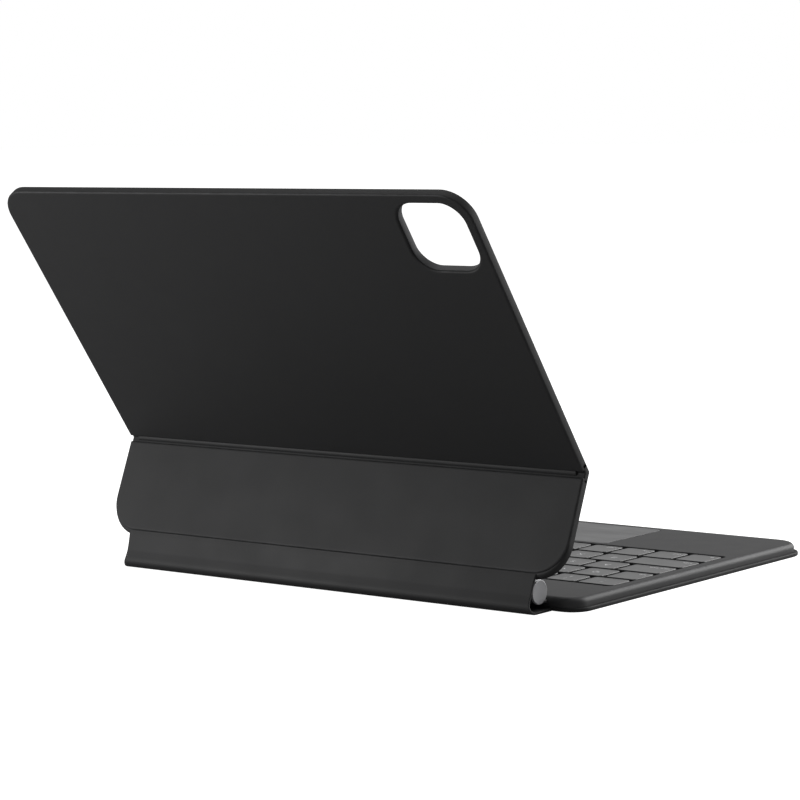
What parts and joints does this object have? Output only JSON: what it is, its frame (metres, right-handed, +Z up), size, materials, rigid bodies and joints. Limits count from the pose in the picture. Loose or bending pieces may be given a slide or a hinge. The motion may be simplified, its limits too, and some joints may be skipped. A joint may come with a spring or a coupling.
{
  "type": "tablet keyboard case",
  "caption": "Folding keyboard case for a tablet, open for typing: flat base with keys and trackpad, round rear hinge, folding magnetic back panel with a camera window.",
  "frame": {"origin": "on the table, straight under the middle of the main hinge's axis", "axes": "+X to the typist's right, +Y away from the typist towards the rear, +Z up"},
  "size_m": [0.2522, 0.2578, 0.173],
  "materials": {
    "soft_touch_skin": "matte soft touch",
    "microfibre_lining": "fine matte microfibre",
    "deck_plastic": "matte",
    "key_plastic": "matte",
    "black_plastic": "matte",
    "dome_rubber": "matte",
    "white_plastic": "satin",
    "trackpad_glass": "satin",
    "aluminium_plate": "satin",
    "barrel_aluminium": "anodised satin",
    "end_cap_plastic": "satin",
    "spring_steel": "satin",
    "circuit_board": "satin",
    "cable_film": "gloss",
    "magnet_nickel": "polished",
    "glass_fibre_sheet": "matte",
    "contact_gold": "polished"
  },
  "bodies": {
    "base": {"base_magnets": "magnet_nickel", "base_skin": "soft_touch_skin", "base_tray": "aluminium_plate", "bracket_screws": "spring_steel", "deck_screws": "spring_steel", "flat_cables": "cable_film", "hinge_bracket_left": "spring_steel", "hinge_bracket_right": "spring_steel", "hinge_end_caps": "end_cap_plastic", "hinge_shafts": "spring_steel", "key_frame": "black_plastic", "key_scissor_lifts": "white_plastic", "key_switch_sheet": "dome_rubber", "keyboard_deck": "deck_plastic", "main_board": "circuit_board", "spine_skin": "soft_touch_skin", "trackpad_springs": "spring_steel", "trackpad_switch": "black_plastic"},
    "lower_panel": {"hinge_barrel": "barrel_aluminium", "friction_sleeves": "spring_steel", "hinge_leaf": "spring_steel", "lower_back_skin": "soft_touch_skin", "lower_core": "glass_fibre_sheet", "lower_lining": "microfibre_lining", "fold_hinge_lower": "spring_steel", "fold_rod": "spring_steel", "fold_band": "soft_touch_skin"},
    "upper_panel": {"fold_hinge_upper": "spring_steel", "upper_back_skin": "soft_touch_skin", "upper_core": "glass_fibre_sheet", "upper_lining": "microfibre_lining", "tablet_magnets": "magnet_nickel", "contact_block": "black_plastic", "contact_board": "circuit_board", "panel_ribbon": "cable_film"},
    "contact_pins": {"contact_pins": "contact_gold"},
    "trackpad": {"trackpad_glass": "trackpad_glass", "trackpad_carrier": "aluminium_plate"},
    "key_arrow_down": {"key_arrow_down": "key_plastic"},
    "key_arrow_left": {"key_arrow_left": "key_plastic"},
    "key_arrow_right": {"key_arrow_right": "key_plastic"},
    "key_arrow_up": {"key_arrow_up": "key_plastic"},
    "key_backslash": {"key_backslash": "key_plastic"},
    "key_caps_lock": {"key_caps_lock": "key_plastic"},
    "key_command_left": {"key_command_left": "key_plastic"},
    "key_command_right": {"key_command_right": "key_plastic"},
    "key_control": {"key_control": "key_plastic"},
    "key_delete": {"key_delete": "key_plastic"},
    "key_function": {"key_function": "key_plastic"},
    "key_option_left": {"key_option_left": "key_plastic"},
    "key_option_right": {"key_option_right": "key_plastic"},
    "key_return": {"key_return": "key_plastic"},
    "key_shift_left": {"key_shift_left": "key_plastic"},
    "key_shift_right": {"key_shift_right": "key_plastic"},
    "key_space": {"key_space": "key_plastic"},
    "key_tab": {"key_tab": "key_plastic"},
    "number_keys": {"number_keys": "key_plastic"},
    "top_row_keys": {"top_row_keys": "key_plastic"},
    "home_row_keys": {"home_row_keys": "key_plastic"},
    "bottom_row_keys": {"bottom_row_keys": "key_plastic"}
  },
  "joints": [
    {"name": "main_hinge", "type": "hinge", "parent": "base", "child": "lower_panel", "pos_m": [0, 0, 0.0083], "axis": [1, 0, 0], "range_deg": [0, 67.4]},
    {"name": "fold_hinge", "type": "hinge", "parent": "lower_panel", "child": "upper_panel", "pos_m": [0, -0.01374, 0.05632], "axis": [1, 0, 0], "range_deg": [-5.3, 57.3]},
    {"name": "contact_press", "type": "slide", "parent": "upper_panel", "child": "contact_pins", "axis": [0, 0.8221, -0.5693], "range_m": [0, 0.0004], "stiffness_N_per_m": 400, "springref_m": -0.0002},
    {"name": "trackpad_click", "type": "slide", "parent": "base", "child": "trackpad", "axis": [0, 0, -1], "range_m": [0, 0.0003], "stiffness_N_per_m": 3000, "springref_m": -0.0002},
    {"name": "key_arrow_down_press", "type": "slide", "parent": "base", "child": "key_arrow_down", "axis": [0, 0, -1], "range_m": [0, 0.001], "stiffness_N_per_m": 300, "springref_m": -0.0003, "deforming": ["key_scissor_lifts"]},
    {"name": "key_arrow_left_press", "type": "slide", "parent": "base", "child": "key_arrow_left", "axis": [0, 0, -1], "range_m": [0, 0.001], "stiffness_N_per_m": 300, "springref_m": -0.0003, "deforming": ["key_scissor_lifts"]},
    {"name": "key_arrow_right_press", "type": "slide", "parent": "base", "child": "key_arrow_right", "axis": [0, 0, -1], "range_m": [0, 0.001], "stiffness_N_per_m": 300, "springref_m": -0.0003, "deforming": ["key_scissor_lifts"]},
    {"name": "key_arrow_up_press", "type": "slide", "parent": "base", "child": "key_arrow_up", "axis": [0, 0, -1], "range_m": [0, 0.001], "stiffness_N_per_m": 300, "springref_m": -0.0003, "deforming": ["key_scissor_lifts"]},
    {"name": "key_backslash_press", "type": "slide", "parent": "base", "child": "key_backslash", "axis": [0, 0, -1], "range_m": [0, 0.001], "stiffness_N_per_m": 300, "springref_m": -0.0003, "deforming": ["key_scissor_lifts"]},
    {"name": "key_caps_lock_press", "type": "slide", "parent": "base", "child": "key_caps_lock", "axis": [0, 0, -1], "range_m": [0, 0.001], "stiffness_N_per_m": 300, "springref_m": -0.0003, "deforming": ["key_scissor_lifts"]},
    {"name": "key_command_left_press", "type": "slide", "parent": "base", "child": "key_command_left", "axis": [0, 0, -1], "range_m": [0, 0.001], "stiffness_N_per_m": 300, "springref_m": -0.0003, "deforming": ["key_scissor_lifts"]},
    {"name": "key_command_right_press", "type": "slide", "parent": "base", "child": "key_command_right", "axis": [0, 0, -1], "range_m": [0, 0.001], "stiffness_N_per_m": 300, "springref_m": -0.0003, "deforming": ["key_scissor_lifts"]},
    {"name": "key_control_press", "type": "slide", "parent": "base", "child": "key_control", "axis": [0, 0, -1], "range_m": [0, 0.001], "stiffness_N_per_m": 300, "springref_m": -0.0003, "deforming": ["key_scissor_lifts"]},
    {"name": "key_delete_press", "type": "slide", "parent": "base", "child": "key_delete", "axis": [0, 0, -1], "range_m": [0, 0.001], "stiffness_N_per_m": 300, "springref_m": -0.0003, "deforming": ["key_scissor_lifts"]},
    {"name": "key_function_press", "type": "slide", "parent": "base", "child": "key_function", "axis": [0, 0, -1], "range_m": [0, 0.001], "stiffness_N_per_m": 300, "springref_m": -0.0003, "deforming": ["key_scissor_lifts"]},
    {"name": "key_option_left_press", "type": "slide", "parent": "base", "child": "key_option_left", "axis": [0, 0, -1], "range_m": [0, 0.001], "stiffness_N_per_m": 300, "springref_m": -0.0003, "deforming": ["key_scissor_lifts"]},
    {"name": "key_option_right_press", "type": "slide", "parent": "base", "child": "key_option_right", "axis": [0, 0, -1], "range_m": [0, 0.001], "stiffness_N_per_m": 300, "springref_m": -0.0003, "deforming": ["key_scissor_lifts"]},
    {"name": "key_return_press", "type": "slide", "parent": "base", "child": "key_return", "axis": [0, 0, -1], "range_m": [0, 0.001], "stiffness_N_per_m": 300, "springref_m": -0.0003, "deforming": ["key_scissor_lifts"]},
    {"name": "key_shift_left_press", "type": "slide", "parent": "base", "child": "key_shift_left", "axis": [0, 0, -1], "range_m": [0, 0.001], "stiffness_N_per_m": 300, "springref_m": -0.0003, "deforming": ["key_scissor_lifts"]},
    {"name": "key_shift_right_press", "type": "slide", "parent": "base", "child": "key_shift_right", "axis": [0, 0, -1], "range_m": [0, 0.001], "stiffness_N_per_m": 300, "springref_m": -0.0003, "deforming": ["key_scissor_lifts"]},
    {"name": "key_space_press", "type": "slide", "parent": "base", "child": "key_space", "axis": [0, 0, -1], "range_m": [0, 0.001], "stiffness_N_per_m": 300, "springref_m": -0.0003, "deforming": ["key_scissor_lifts"]},
    {"name": "key_tab_press", "type": "slide", "parent": "base", "child": "key_tab", "axis": [0, 0, -1], "range_m": [0, 0.001], "stiffness_N_per_m": 300, "springref_m": -0.0003, "deforming": ["key_scissor_lifts"]},
    {"name": "number_keys_press", "type": "slide", "parent": "base", "child": "number_keys", "axis": [0, 0, -1], "range_m": [0, 0.001], "stiffness_N_per_m": 400, "springref_m": -0.0003, "deforming": ["key_scissor_lifts"]},
    {"name": "top_row_keys_press", "type": "slide", "parent": "base", "child": "top_row_keys", "axis": [0, 0, -1], "range_m": [0, 0.001], "stiffness_N_per_m": 400, "springref_m": -0.0003, "deforming": ["key_scissor_lifts"]},
    {"name": "home_row_keys_press", "type": "slide", "parent": "base", "child": "home_row_keys", "axis": [0, 0, -1], "range_m": [0, 0.001], "stiffness_N_per_m": 400, "springref_m": -0.0003, "deforming": ["key_scissor_lifts"]},
    {"name": "bottom_row_keys_press", "type": "slide", "parent": "base", "child": "bottom_row_keys", "axis": [0, 0, -1], "range_m": [0, 0.001], "stiffness_N_per_m": 400, "springref_m": -0.0003, "deforming": ["key_scissor_lifts"]}
  ]
}
